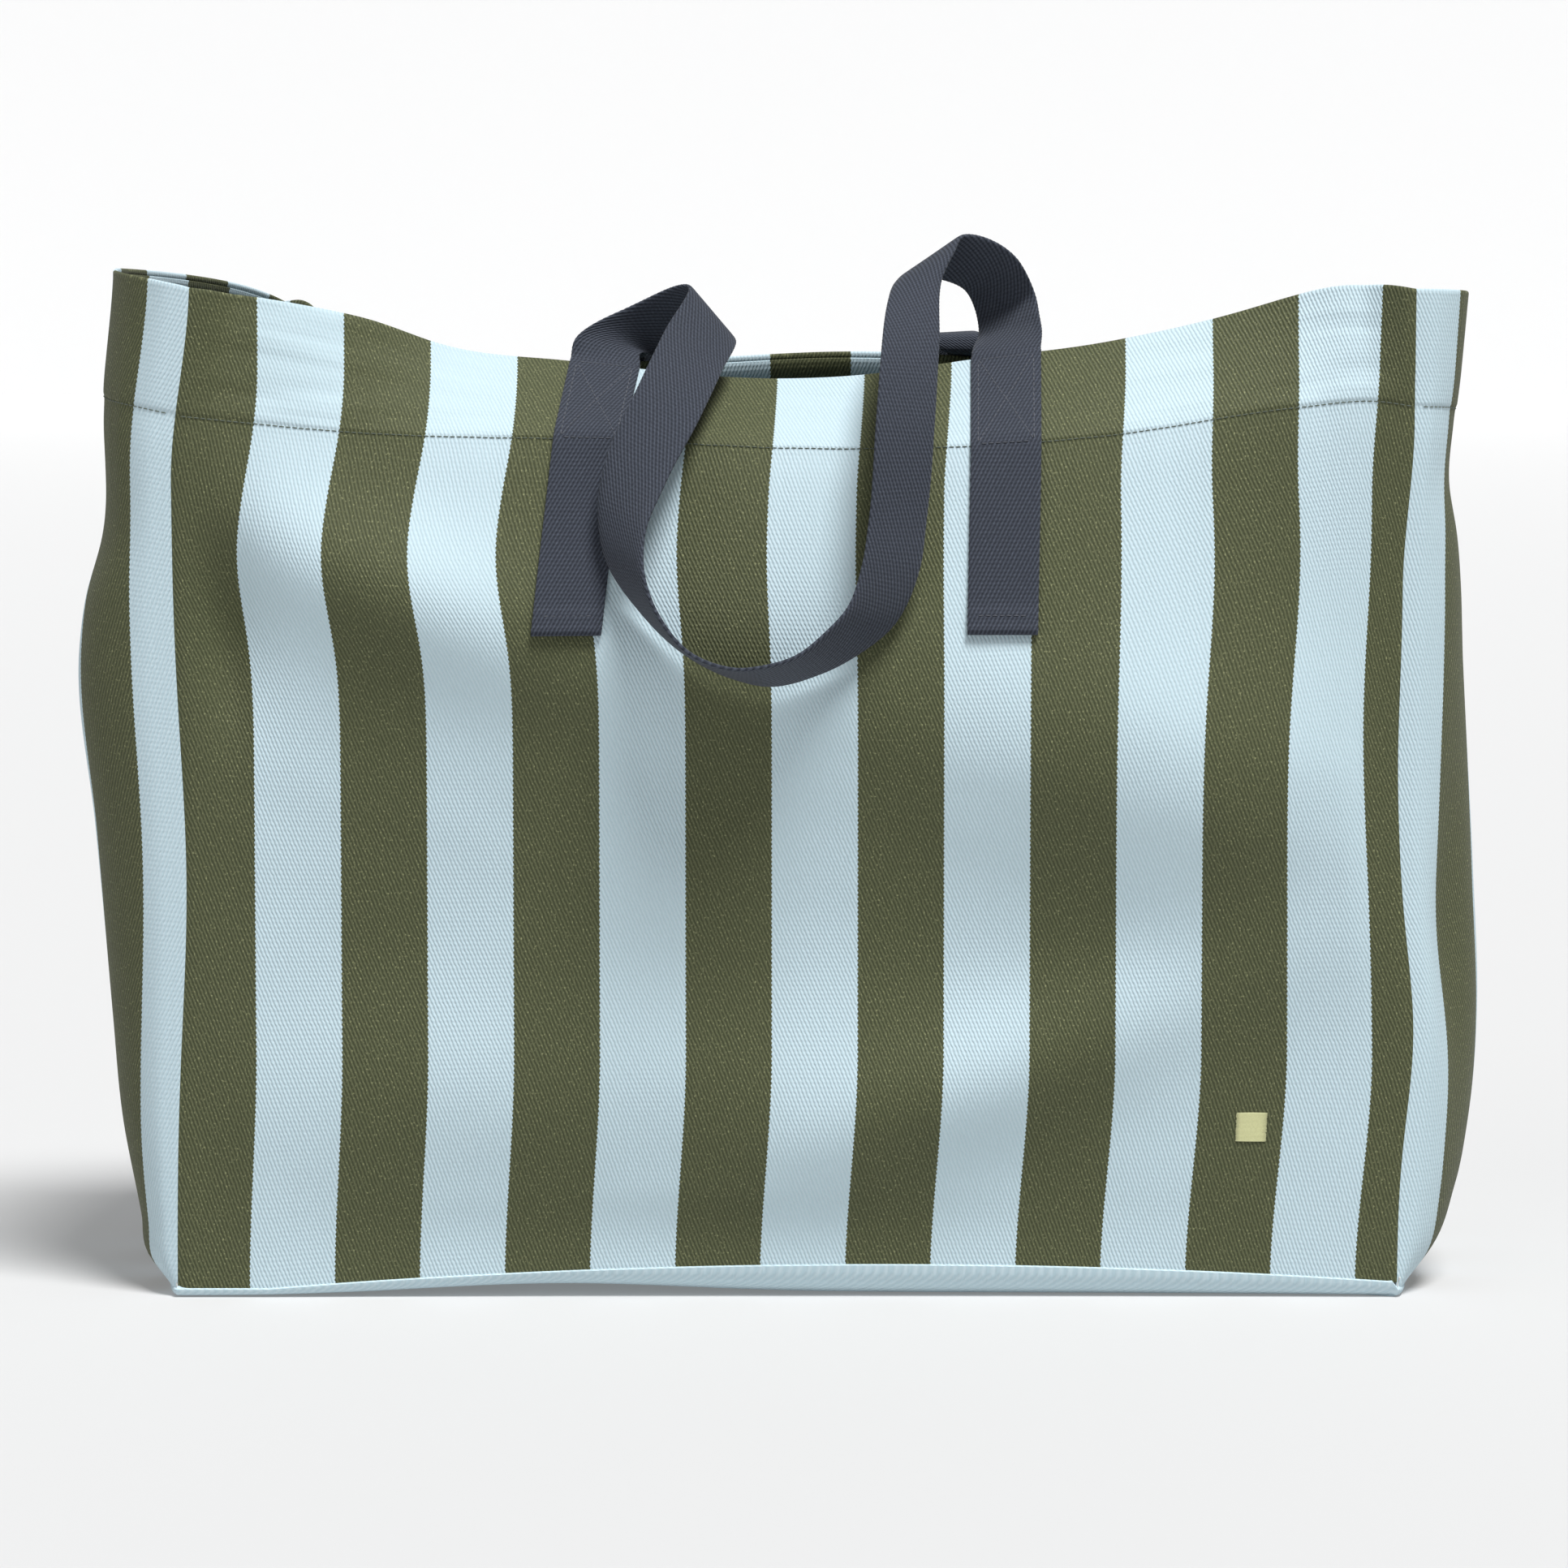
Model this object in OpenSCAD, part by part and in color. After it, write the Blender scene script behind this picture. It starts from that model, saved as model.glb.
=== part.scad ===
// Large open-topped laundry bag in striped cotton twill. Four soft cloth walls
// stand on a plain base panel that turns up at the walls, the mouth has a deep
// stitched hem that leans inwards, and two webbing handles are sewn on by tabs.
// Units are millimetres. The origin is the centre of the base, on the floor.
// +Z is up, the front faces -Y, and +X runs to the right along the front.

/* [Body] */
// Width of the front and back panels, seam to seam
body_w = 600; // [540:10:660]
// Depth between the front and back panels at the base
body_d = 250; // [230:5:280]
// Height of the mouth at the four corner seams
body_h = 497; // [480:1:520]
// Thickness of the cotton twill
cloth = 1.2; // [0.8:0.1:1.6]
// How far the end panels belly outwards
end_belly = 50; // [30:1:60]
// How far the front and back panels belly outwards
face_belly = 12; // [4:1:14]
// How far the base panel turns up at the walls
base_turn_up = 11; // [8:1:14]

/* [Mouth] */
// Depth of the stitched hem around the mouth
hem_depth = 61; // [55:1:66]
// Inward lean of the front hem at its middle, in degrees from upright
front_hem_lean = 57; // [50:1:60]
// Inward lean of the back hem at its middle, in degrees from upright
back_hem_lean = 60; // [50:1:62]
// Sag of the front hem's stitch line at its middle
front_sag = 20; // [12:1:22]
// Sag of the back hem's stitch line at its middle
back_sag = 7; // [4:1:12]

/* [Webbing handles] */
// Width of the webbing
webbing_w = 34; // [28:1:38]
// Thickness of the webbing
webbing = 2.2; // [1.6:0.1:2.6]
// Distance between the middles of a handle's two tabs
tab_spacing = 200; // [180:2:220]
// Height of a tab's folded end above the floor
tab_end_z = 328; // [310:1:350]
// Span of a handle between its two bends
bend_span = 140; // [130:2:150]
// Height of the front handle's left bend
front_bend_left_z = 488; // [484:1:494]
// Height of the front handle's right bend
front_bend_right_z = 515; // [500:1:520]
// Height of both bends of the back handle
back_bend_z = 476; // [472:1:490]
// How far a hanging handle's loop drops below its bends
loop_drop = 192; // [180:1:200]
// How far a hanging handle's loop stands out from its bends
loop_reach = 80; // [78:1:86]

/* [Stitching] */
// How proud the stitching thread stands
thread = 0.5; // [0.3:0.1:0.5]
// Width of a line of stitching
stitch_w = 1.4; // [1:0.1:2]
// Width of a seam allowance inside the bag
allowance = 10; // [8:1:12]
// Side of the embroidered square
mark_side = 14; // [12:1:18]
// Distance of the embroidered square from the middle of the front
mark_x = 226; // [200:1:240]
// Height of the embroidered square above the floor
mark_z = 85; // [60:1:120]

/* [Hidden] */

// The four sides, counted anticlockwise from above.
FRONT = 0;
RIGHT = 1;
BACK = 2;
LEFT = 3;

olive = [0.30, 0.32, 0.21];
pale_blue = [0.66, 0.78, 0.83];
navy = [0.16, 0.17, 0.23];
white = [0.9, 0.9, 0.88];
pale_yellow = [0.88, 0.89, 0.62];

half_w = body_w / 2;
half_d = body_d / 2;
corner_stitch_z = body_h - hem_depth;
touch_gap = 0.05;   // between layers of cloth that lie on each other
tab_lift = 0.1 + thread;   // a tab lies over the hem's stitching
bend_y = -70;       // of the front handle's bends
bend_gap = 4;       // from a tab's bend to the end of the loop
fold_length = 5;    // of the webbing folded under at a tab's end
fold_step = 0.001;  // part of the wall over which the fold's edge steps down
low_thread_rise = 2.5 * fold_length;   // of the lowest thread row above a tab's end
thread_reach = 0.85;    // of a thread row, as part of the webbing's width
seam_start = 2;     // from the inside of the cloth to a corner's seam allowance
lean_spread = 0.6;  // power of the hem's lean along a side; a low one spreads it wider
knee_in = 0.4;      // place of an ear's knee between the rim and the bend, sideways
knee_up = 0.3;      // and upwards
loop_swell = 0.2;   // how much wider than its bends a loop hangs, as a part
top_tilt = 80;      // of the webbing at a loop's ends, in degrees from upright
bottom_tilt = 66;   // and at the bottom of the loop

// How the end panels fill out up their height, as parts of the mouth's height.
fill_rate = 12.5;
pinch = 0.22;
pinch_height = 0.84;
pinch_spread = 0.12;

// Steps of the cloth grid along each side, and of the webbing.
face_steps = 20;
end_steps = 10;
seam_steps = 6;
ear_steps = 5;
loop_steps = 44;

face_grid = spread(-1, 1, face_steps);
end_grid = spread(-1, 1, end_steps);

// Heights of the cloth grid's rows, as t. Layers that lie on each other share
// rows, so that their facets stay parallel.
seam_top = allowance / (corner_stitch_z - base_turn_up);
stitch_edge = 1 + stitch_w / hem_depth;
fold_edge = 1.05;
wall_rows = [0, seam_top, 0.08, 0.16, 0.32, 0.5, 0.68, 0.84];
topstitch_rows = [1, stitch_edge];
overlock_rows = [1, stitch_edge, fold_edge];
turn_in_rows = [fold_edge, 1.5, 2];

// ---- Helpers ----

function spread(from, to, steps) = [for (i = [0:steps]) from + (to - from) * i / steps];
function mix(a, b, part) = a + (b - a) * part;
function unit(v) = v / norm(v);
function is_face(side) = side % 2 == 0;

// ---- Shape of the cloth ----
// u runs along a side from -1 to 1, anticlockwise. t runs up it: -1 is the
// floor, 0 the base seam, 1 the hem's stitch line and 2 the rim.

function middle(u) = max(0, 1 - u * u);

function sag(side) = side == FRONT ? front_sag : side == BACK ? back_sag : 0;

function top_lean(side) = side == FRONT ? front_hem_lean : side == BACK ? back_hem_lean : 0;

function lean(side, u) = top_lean(side) * pow(middle(u), lean_spread);

function stitch_z(side, u) = corner_stitch_z - sag(side) * middle(u);

function wall_z(side, u, t) =
    t < 0 ? base_turn_up * (t + 1) :
    t < 1 ? mix(base_turn_up, stitch_z(side, u), t) :
    stitch_z(side, u) + (t - 1) * hem_depth * cos(lean(side, u));

// The end panels fill out fast above the floor and are pinched at the hem.
function fullness(height) =
    (1 - exp(-fill_rate * height))
    * (1 - pinch * exp(-pow((height - pinch_height) / pinch_spread, 2)));

function end_out(side, u, t) =
    end_belly * middle(u) * fullness(wall_z(side, u, t) / body_h);

function face_out(side, u, t) =
    t < 1 ? face_belly * middle(u) * sin(180 * max(t, 0)) :
    -(t - 1) * hem_depth * sin(lean(side, u));

function belly(side, u, t) = is_face(side) ? face_out(side, u, t) : end_out(side, u, t);

// A point of the cloth, set in from the outer surface by inset.
function wall_point(side, u, t, inset) =
    let (
        along = u * ((is_face(side) ? half_w : half_d) - inset),
        out = (is_face(side) ? half_d : half_w) - inset + belly(side, u, t),
        z = wall_z(side, u, t)
    )
    side == FRONT ? [along, -out, z] :
    side == RIGHT ? [out, along, z] :
    side == BACK ? [-along, out, z] :
    [-out, -along, z];

// The value of t at a height up the middle of a side's wall.
function t_at(side, u, z) = (z - base_turn_up) / (stitch_z(side, u) - base_turn_up);

// ---- Thin solids between two grids of points ----

// outer and inner are rows of points. Seen from outside, a row runs to the right
// and the rows go up. A closed skin runs on from the end of each row to its start.
module skin(outer, inner, closed = false) {
    rows = len(outer) - 1;
    n = len(outer[0]);
    columns = closed ? n : n - 1;
    back = (rows + 1) * n;
    points = concat([for (row = outer) each row], [for (row = inner) each row]);
    faces = concat(
        [for (r = [0:rows - 1]) for (c = [0:columns - 1])
            let (a = r * n + c, b = r * n + (c + 1) % n)
            each [
                [a, a + n, b + n], [a, b + n, b],
                [back + a, back + b + n, back + a + n], [back + a, back + b, back + b + n]
            ]],
        [for (c = [0:columns - 1])
            let (a = c, b = (c + 1) % n, top = rows * n)
            each [
                [a, b, back + b], [a, back + b, back + a],
                [top + b, top + a, back + top + a], [top + b, back + top + a, back + top + b]
            ]],
        closed ? [] : [for (r = [0:rows - 1])
            let (a = r * n, b = r * n + n - 1)
            each [
                [a + n, a, back + a], [a + n, back + a, back + a + n],
                [b, b + n, back + b + n], [b, back + b + n, back + b]
            ]]
    );
    polyhedron(points = points, faces = faces, convexity = 6);
}

function patch_rows(side, us, ts, inset) =
    [for (t = ts) [for (u = us) wall_point(side, u, t, inset)]];

// A patch of one side, from the outer inset to the inner one.
module patch(side, us, ts, outer_inset, inner_inset) {
    skin(patch_rows(side, us, ts, outer_inset), patch_rows(side, us, ts, inner_inset));
}

function ring(t, inset) =
    [for (side = [FRONT:LEFT])
        let (us = is_face(side) ? face_grid : end_grid)
        for (i = [0:len(us) - 2]) wall_point(side, us[i], t, inset)];

// A band right round the bag.
module band(ts, outer_inset, inner_inset) {
    skin(
        [for (t = ts) ring(t, outer_inset)],
        [for (t = ts) ring(t, inner_inset)],
        closed = true
    );
}

// ---- Cloth pieces ----

module wall(side) {
    patch(
        side,
        is_face(side) ? face_grid : end_grid,
        concat(wall_rows, topstitch_rows, turn_in_rows),
        0,
        cloth
    );
}

module front_panel() color(olive) wall(FRONT);

module back_panel() color(olive) wall(BACK);

module left_end_panel() color(pale_blue) wall(LEFT);

module right_end_panel() color(pale_blue) wall(RIGHT);

// A shallow tray: the flat base and its turned-up edge.
module base_panel() {
    floor_t = cloth / base_turn_up - 1;
    rings = [ring(-1, 0), ring(0, 0), ring(floor_t, cloth), ring(0, cloth)];
    n = len(rings[0]);
    middle_under = 4 * n;
    middle_over = middle_under + 1;
    color(pale_blue)
        polyhedron(
            points = concat([for (points = rings) each points], [[0, 0, 0], [0, 0, cloth]]),
            faces = [for (c = [0:n - 1])
                let (a = c, b = (c + 1) % n)
                each [
                    [a, a + n, b + n], [a, b + n, b],
                    [2 * n + a, 3 * n + b, 3 * n + a], [2 * n + a, 2 * n + b, 3 * n + b],
                    [n + b, n + a, 3 * n + a], [n + b, 3 * n + a, 3 * n + b],
                    [middle_under, a, b],
                    [middle_over, 2 * n + b, 2 * n + a]
                ]],
            convexity = 6
        );
}

// The inner layer of the hem, turned in over the rim.
module hem_turn_in() {
    color(pale_blue) band(turn_in_rows, cloth + touch_gap, 2 * cloth + touch_gap);
}

// White overlocking on the raw edge of the turned-in layer.
module hem_overlock() {
    color(white) band(overlock_rows, cloth + touch_gap, 2 * cloth + thread);
}

// The line of thread that holds the hem down.
module hem_topstitch() {
    color(olive) band(topstitch_rows, -thread, -touch_gap);
}

// The two cloth edges sewn together inside a vertical corner.
module corner_seam(side) {
    ts = spread(2 * seam_top, 1 - seam_top, seam_steps);
    start = cloth + seam_start;
    across = side == FRONT || side == BACK ? [1, 1, 0] / sqrt(2) : [-1, 1, 0] / sqrt(2);
    facing = side == FRONT || side == RIGHT ? 1 : -1;
    shift = facing * cloth * across;
    rows = [for (t = ts) [wall_point(side, 1, t, start), wall_point(side, 1, t, start + allowance)]];
    color(white)
        skin(
            [for (row = rows) [for (p = row) p - shift]],
            [for (row = rows) [for (p = row) p + shift]]
        );
}

module front_right_seam() corner_seam(FRONT);

module back_right_seam() corner_seam(RIGHT);

module back_left_seam() corner_seam(BACK);

module front_left_seam() corner_seam(LEFT);

// The seam allowance that joins the walls to the base, inside the bag.
module base_seam() {
    color(white) band([0, seam_top], cloth + touch_gap, 3 * cloth);
}

// ---- Webbing handles ----

function bend_z(side, end) =
    side == BACK ? back_bend_z : end < 0 ? front_bend_left_z : front_bend_right_z;

// The bend of the webbing over one tab. end is -1 on a side's left, 1 on its right.
function bend_point(side, end) =
    let (x = end * bend_span / 2)
    side == FRONT ? [x, bend_y, bend_z(side, end)] : [-x, -bend_y, bend_z(side, end)];

// A point on a tab. across is -1 at its left edge and 1 at its right one.
function tab_u(end, across) = (end * tab_spacing + across * webbing_w) / body_w;

// The two ends of a row across a tab; reach is 1 for the whole width of the webbing.
function tab_row(side, end, t, inset, reach = 1) =
    let (
        left = wall_point(side, tab_u(end, -1), t, inset),
        right = wall_point(side, tab_u(end, 1), t, inset)
    )
    [for (across = [-reach, reach]) mix(left, right, (across + 1) / 2)];

// Lower and upper t of each row of thread: low down, on the hem's stitch line and
// at the rim. The tab has rows at the same places, so the thread lies flat on it.
function tab_stitch_rows(side, end) =
    let (
        low = t_at(side, tab_u(end, 0), tab_end_z + low_thread_rise),
        wall_step = stitch_w / (corner_stitch_z - base_turn_up),
        hem_step = stitch_w / hem_depth
    )
    [
        [low, low + wall_step],
        [1 + hem_step, 1 + 2 * hem_step],
        [2 - 3 * hem_step, 2 - 2 * hem_step]
    ];

// The ear carries a tab's webbing from the rim up to its bend.
function ear_point(side, end, across, part, inset) =
    let (
        facing = side == FRONT ? 1 : -1,
        slope = (bend_point(side, 1)[2] - bend_point(side, -1)[2]) / bend_span,
        rim = wall_point(side, tab_u(end, across), 2, inset),
        bend = bend_point(side, end)
            + [facing * across * webbing_w / 2, facing * (inset + tab_lift + webbing / 2),
               across * slope * webbing_w / 2],
        knee = [mix(rim[0], bend[0], knee_in), bend[1], mix(rim[2], bend[2], knee_up)]
    )
    mix(mix(rim, knee, part), mix(knee, bend, part), part);

function ear_row(side, end, part, inset) =
    [for (across = [-1, 1]) ear_point(side, end, across, part, inset)];

module tab(side, end) {
    low = t_at(side, tab_u(end, 0), tab_end_z);
    fold = fold_length / (corner_stitch_z - base_turn_up);
    inner = -tab_lift;
    outer = inner - webbing;
    folded = outer - webbing;
    stitched = tab_stitch_rows(side, end);
    folded_ts = [low, low + fold];
    single_ts = [
        low + fold + fold_step,
        each stitched[0],
        mix(low, 1, 0.5),
        1,
        each stitched[1],
        1.5,
        each stitched[2],
        2
    ];
    parts = [for (i = [1:ear_steps]) i / ear_steps];
    color(navy)
        skin(
            concat(
                [for (t = folded_ts) tab_row(side, end, t, folded)],
                [for (t = single_ts) tab_row(side, end, t, outer)],
                [for (part = parts) ear_row(side, end, part, outer)]
            ),
            concat(
                [for (t = concat(folded_ts, single_ts)) tab_row(side, end, t, inner)],
                [for (part = parts) ear_row(side, end, part, inner)]
            )
        );
}

module front_left_tab() tab(FRONT, -1);

module front_right_tab() tab(FRONT, 1);

module back_left_tab() tab(BACK, 1);

module back_right_tab() tab(BACK, -1);

// Rows of thread across a tab.
module tab_stitching(side, end) {
    top = -(tab_lift + webbing + touch_gap);
    color(navy)
        for (ts = tab_stitch_rows(side, end))
            skin(
                [for (t = ts) tab_row(side, end, t, top - thread, thread_reach)],
                [for (t = ts) tab_row(side, end, t, top, thread_reach)]
            );
}

module front_left_tab_stitching() tab_stitching(FRONT, -1);

module front_right_tab_stitching() tab_stitching(FRONT, 1);

module back_left_tab_stitching() tab_stitching(BACK, 1);

module back_right_tab_stitching() tab_stitching(BACK, -1);

// How far down the loop is at an angle round it: 0 at its ends, 1 at its lowest.
function drop_at(angle) = pow(sin(angle), 0.5);

// Middle line of a hanging front loop, from its left end (0) to its right (180).
function loop_point(side, angle) =
    let (
        drop = drop_at(angle),
        sideways = -cos(angle) * (1 + loop_swell * pow(sin(angle), 2)),
        out = loop_reach * (1 - pow(1 - drop, 5)) + webbing_w / 3 * pow(drop, 6)
    )
    [
        sideways * bend_span / 2,
        bend_y - bend_gap - out,
        mix(bend_z(side, -1), bend_z(side, 1), (1 - cos(angle)) / 2) - loop_drop * drop
    ];

// Direction that the webbing's outer face looks in: up at the bends, outwards
// down the strands, and mostly down at the bottom of the loop.
function face_direction(angle) =
    let (tilt = top_tilt * pow(1 - drop_at(angle), 3) - bottom_tilt * pow(sin(angle), 6))
    [0, -cos(tilt), sin(tilt)];

module loop(side) {
    angles = [for (s = spread(0, 1, loop_steps)) 180 * s * s * (3 - 2 * s)];
    path = [for (angle = angles) loop_point(side, angle)];
    last = len(path) - 1;
    across = [for (i = [0:last])
        let (ahead = path[min(i + 1, last)] - path[max(i - 1, 0)])
        unit(cross(unit(ahead), face_direction(angles[i])))];
    normals = [for (i = [0:last])
        unit(cross(across[i], path[min(i + 1, last)] - path[max(i - 1, 0)]))];
    function face_rows(offset) = [for (i = [0:last])
        [for (edge = [-1, 1])
            path[i] + edge * webbing_w / 2 * across[i] + offset * normals[i]]];
    color(navy)
        skin(face_rows(webbing / 2), face_rows(-webbing / 2));
}

module front_handle_loop() loop(FRONT);

module back_handle_loop() rotate([0, 0, 180]) loop(BACK);

// ---- Embroidery ----

// A plain satin-stitched square low on the right of the front panel.
module embroidered_square() {
    u = mark_x / half_w;
    t = t_at(FRONT, u, mark_z);
    half_u = mark_side / 2 / half_w;
    half_t = mark_side / 2 / (corner_stitch_z - base_turn_up);
    color(pale_yellow)
        patch(
            FRONT,
            [u - half_u, u + half_u],
            [t - half_t, t + half_t],
            -thread - touch_gap,
            -touch_gap
        );
}

front_panel();
back_panel();
left_end_panel();
right_end_panel();
base_panel();
hem_turn_in();
hem_overlock();
hem_topstitch();
front_left_seam();
front_right_seam();
back_left_seam();
back_right_seam();
base_seam();
front_left_tab();
front_right_tab();
back_left_tab();
back_right_tab();
front_left_tab_stitching();
front_right_tab_stitching();
back_left_tab_stitching();
back_right_tab_stitching();
front_handle_loop();
back_handle_loop();
embroidered_square();
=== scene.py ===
"""Looks of a large striped cotton laundry bag with two webbing handles.

Metres, +Z up, the front faces -Y. The cloth walls are grids in two coordinates:
u runs along a side from -1 to 1, anticlockwise seen from above, and t runs up it,
0 at the base seam, 1 at the hem's line of stitching and 2 at the rim.
"""

import math
from collections import namedtuple

import bpy
import numpy as np
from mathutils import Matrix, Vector


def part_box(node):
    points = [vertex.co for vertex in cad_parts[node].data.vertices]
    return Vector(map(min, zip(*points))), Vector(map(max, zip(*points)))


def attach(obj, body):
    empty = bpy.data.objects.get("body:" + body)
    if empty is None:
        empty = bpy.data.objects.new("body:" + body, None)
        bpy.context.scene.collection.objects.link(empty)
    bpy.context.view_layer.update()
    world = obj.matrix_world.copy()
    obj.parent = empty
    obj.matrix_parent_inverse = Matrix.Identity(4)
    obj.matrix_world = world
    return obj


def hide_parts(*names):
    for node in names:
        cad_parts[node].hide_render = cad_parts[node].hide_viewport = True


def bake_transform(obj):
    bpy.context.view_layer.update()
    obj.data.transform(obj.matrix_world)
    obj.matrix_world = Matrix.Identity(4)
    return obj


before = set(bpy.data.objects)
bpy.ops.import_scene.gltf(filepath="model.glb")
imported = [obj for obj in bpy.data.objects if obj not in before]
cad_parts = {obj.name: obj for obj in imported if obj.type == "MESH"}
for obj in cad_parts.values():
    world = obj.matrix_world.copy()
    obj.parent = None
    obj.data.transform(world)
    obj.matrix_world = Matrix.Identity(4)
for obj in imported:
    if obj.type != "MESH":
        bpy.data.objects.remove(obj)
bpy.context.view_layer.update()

MM = 0.001

# ---- Driving sizes, from the frame ----

panel_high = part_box("front_panel")[1]
base_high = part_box("base_panel")[1]
rim_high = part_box("left_end_panel")[1]
stitch_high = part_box("hem_topstitch")[1]
tab_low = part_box("front_left_tab")[0]
mark_low, mark_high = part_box("embroidered_square")

HALF_W = panel_high.x
HALF_D = base_high.y
TOP = rim_high.z
STITCH_W = 1.4 * MM      # width of the line of stitching
HEM_LINE = stitch_high.z - STITCH_W
HEM = TOP - HEM_LINE
TURN_UP = base_high.z
WALL = HEM_LINE - TURN_UP
TAB_END = tab_low.z

CLOTH = 1.2 * MM
LAYER = CLOTH + 0.1 * MM   # inset of a layer that lies inside the cloth
WEB_T = 2.2 * MM
WEB_W = 34 * MM
STRIPE = 41.8 * MM

EYE_DISTANCE = 2.9
EYE_ELEVATION = 5        # degrees
EYE_TARGET = (-1.6 * MM, -0.13, 0.254)
LENS = 136.6             # in mm, on a sensor 36 mm wide

UP = np.array([0, 0, 1])

random = np.random.default_rng(5)


# ---- Small helpers ----

def smooth(x, start, end):
    """0 before start, 1 after end, and an even curve in between."""
    part = np.clip((x - start) / (end - start), 0, 1)
    return part * part * (3 - 2 * part)


def bump(x, centre, width):
    """A soft ridge of height 1."""
    return np.exp(-(((x - centre) / width) ** 2))


def hill(dx, dz, wide, tall):
    """A soft hill of height 1, from the distances to its middle and its half sizes."""
    return np.exp(-((dx / wide) ** 2) - (dz / tall) ** 2)


def cubic(knots, values, slopes, places):
    """Values at places, on cubic curves with given slopes at the knots."""
    i = np.clip(np.searchsorted(knots, places, side="right") - 1, 0, len(knots) - 2)
    gap = knots[i + 1] - knots[i]
    f = (places - knots[i]) / gap
    if values.ndim > 1:
        gap, f = gap[:, None], f[:, None]
    return (
        (2 * f ** 3 - 3 * f ** 2 + 1) * values[i]
        + (f ** 3 - 2 * f ** 2 + f) * gap * slopes[i]
        + (3 * f ** 2 - 2 * f ** 3) * values[i + 1]
        + (f ** 3 - f ** 2) * gap * slopes[i + 1]
    )


def distance_along(line):
    return np.concatenate([[0], np.cumsum(np.linalg.norm(np.diff(line, axis=0), axis=1))])


def through(points, places):
    """A smooth curve through given points, at places from 0 to 1 along it."""
    knots = distance_along(points)
    knots = knots / knots[-1]
    return cubic(knots, points, np.gradient(points, knots, axis=0), places)


def outline(points, heights):
    """Values at heights, on the smooth outline through (height, value) points."""
    knots, values = np.array(points, float).T
    heights = np.clip(heights, knots[0], knots[-1])
    return cubic(knots, values, np.gradient(values, knots), heights)


def unit(vectors):
    return vectors / np.maximum(np.linalg.norm(vectors, axis=-1, keepdims=True), 1e-12)


# ---- Camera, light and floor ----

def add_camera():
    camera = bpy.data.objects.new("camera", bpy.data.cameras.new("camera"))
    bpy.context.scene.collection.objects.link(camera)
    bpy.context.scene.camera = camera
    elevation = math.radians(EYE_ELEVATION)
    back = Vector((0, -math.cos(elevation), math.sin(elevation)))
    camera.location = Vector(EYE_TARGET) + EYE_DISTANCE * back
    camera.rotation_euler = (math.pi / 2 - elevation, 0, 0)
    camera.data.sensor_width = 36
    camera.data.lens = LENS
    camera.data.clip_start = 0.1
    camera.data.clip_end = 50
    camera.data.dof.use_dof = False


def add_sun(name, power, elevation, azimuth, softness):
    """A far light; azimuth 0 shines from the front and 90 from the right, in degrees."""
    light = bpy.data.lights.new(name, "SUN")
    light.energy = power
    light.angle = math.radians(softness)
    a, e = math.radians(azimuth), math.radians(elevation)
    back = Vector((math.sin(a) * math.cos(e), -math.cos(a) * math.cos(e), math.sin(e)))
    lamp = bpy.data.objects.new(name, light)
    lamp.rotation_euler = (-back).to_track_quat("-Z", "Y").to_euler()
    bpy.context.scene.collection.objects.link(lamp)


def add_backcloth(name, points, grey, glow):
    """A pale four-cornered sheet of the studio that glows a little by itself."""
    mesh = bpy.data.meshes.new(name)
    mesh.from_pydata(points, [], [(0, 1, 2, 3)])
    obj = bpy.data.objects.new(name, mesh)
    bpy.context.scene.collection.objects.link(obj)
    material = bpy.data.materials.new(name)
    material.use_nodes = True
    shader = material.node_tree.nodes["Principled BSDF"]
    shader.inputs["Base Color"].default_value = (grey, grey, grey, 1)
    shader.inputs["Roughness"].default_value = 0.9
    shader.inputs["Emission Color"].default_value = (1, 1, 1, 1)
    shader.inputs["Emission Strength"].default_value = glow
    mesh.materials.append(material)


def add_studio():
    scene = bpy.context.scene
    scene.view_settings.view_transform = "Standard"
    world = bpy.data.worlds.new("studio")
    scene.world = world
    world.use_nodes = True
    background = world.node_tree.nodes["Background"]
    background.inputs["Color"].default_value = (0.95, 0.975, 1.0, 1)
    background.inputs["Strength"].default_value = 0.18
    add_sun("key", power=4.1, elevation=67, azimuth=34, softness=20)
    add_sun("fill", power=0.42, elevation=25, azimuth=-42, softness=60)
    reach, top = 20.0, 12.0
    near_left, near_right = (-reach, -reach, 0), (reach, -reach, 0)
    far_left, far_right = (-reach, reach, 0), (reach, reach, 0)
    high_left, high_right = (-reach, reach, top), (reach, reach, top)
    add_backcloth(
        "floor", [near_left, near_right, far_right, far_left], grey=0.5, glow=0.15
    )
    add_backcloth(
        "backdrop", [far_left, far_right, high_right, high_left], grey=0.5, glow=0.42
    )


# ---- Shape of the cloth ----

Side = namedtuple("Side", "name along out half reach")
FRONT = Side("front", np.array([1, 0, 0]), np.array([0, -1, 0]), HALF_W, HALF_D)
RIGHT = Side("right", np.array([0, 1, 0]), np.array([1, 0, 0]), HALF_D, HALF_W)
BACK = Side("back", np.array([-1, 0, 0]), np.array([0, 1, 0]), HALF_W, HALF_D)
LEFT = Side("left", np.array([0, -1, 0]), np.array([-1, 0, 0]), HALF_D, HALF_W)
SIDES = (FRONT, RIGHT, BACK, LEFT)

# Along the front, as (x in mm, value): the height of the hem's stitching in mm, and how
# far the hem leans inwards in degrees.
FRONT_STITCH = [
    (-300, 433), (-210, 425), (-75, 421), (0, 417.5), (80, 418), (160, 424), (245, 437),
    (282, 440), (300, 437.5),
]
FRONT_LEAN = [
    (-300, 8), (-250, 14), (-210, 25), (-171, 44), (-107, 53), (-40, 58), (30, 56),
    (91, 48), (160, 43), (241, 31), (270, 18), (300, 12),
]

BACK_LEAN = 83           # degrees, at the middle
BACK_LEAN_DIP = 5        # degrees less, beside the middle

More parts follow.
